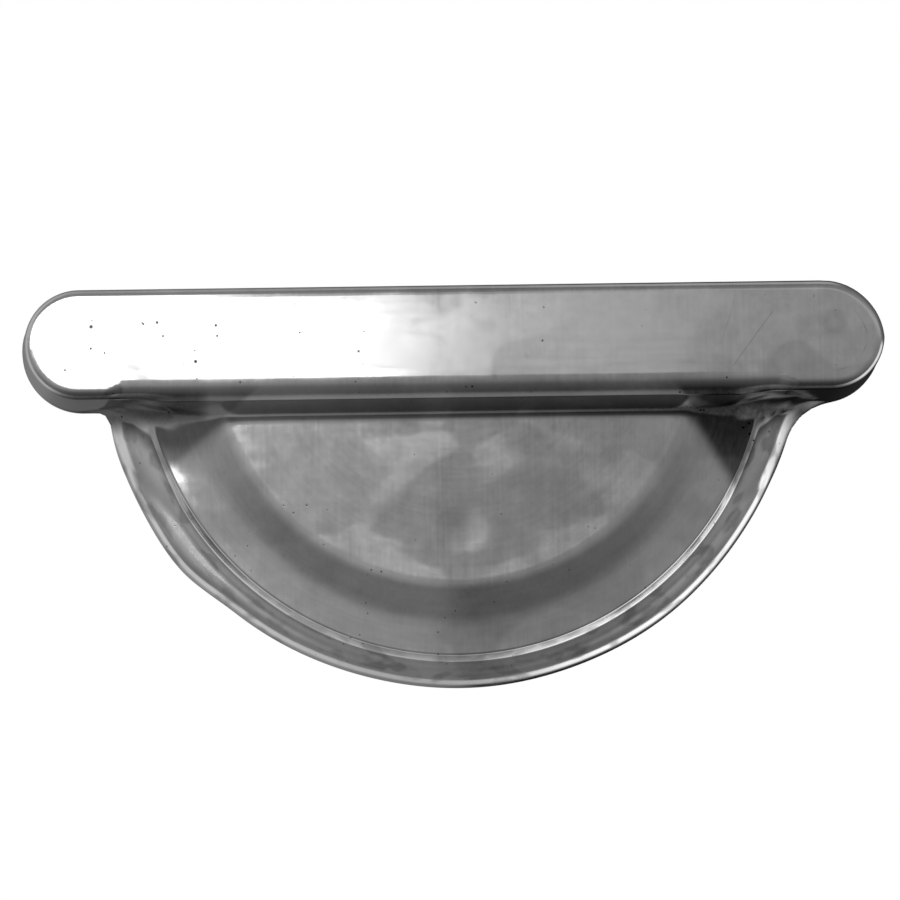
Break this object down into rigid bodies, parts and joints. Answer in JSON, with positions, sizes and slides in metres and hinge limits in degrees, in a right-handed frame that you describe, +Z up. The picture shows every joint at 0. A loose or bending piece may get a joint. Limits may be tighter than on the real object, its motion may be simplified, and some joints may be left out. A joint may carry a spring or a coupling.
{
  "type": "gutter end cap",
  "caption": "Drawn sheet end cap for a half-round gutter: a raised round-ended bar that takes the bead, above a half-round pan with a ridge, flange and turned-back lip.",
  "frame": {"origin": "on the gutter's axis, in the plane where the gutter's end stops", "axes": "+X along the bar, +Y into the gutter, +Z up"},
  "size_m": [0.1946, 0.024, 0.091],
  "materials": {
    "zinc_sheet": "bright rolled zinc coating, lightly clouded and spotted, with faint rolling lines"
  },
  "bodies": {
    "root": {"end_cap": "zinc_sheet"}
  },
  "joints": []
}
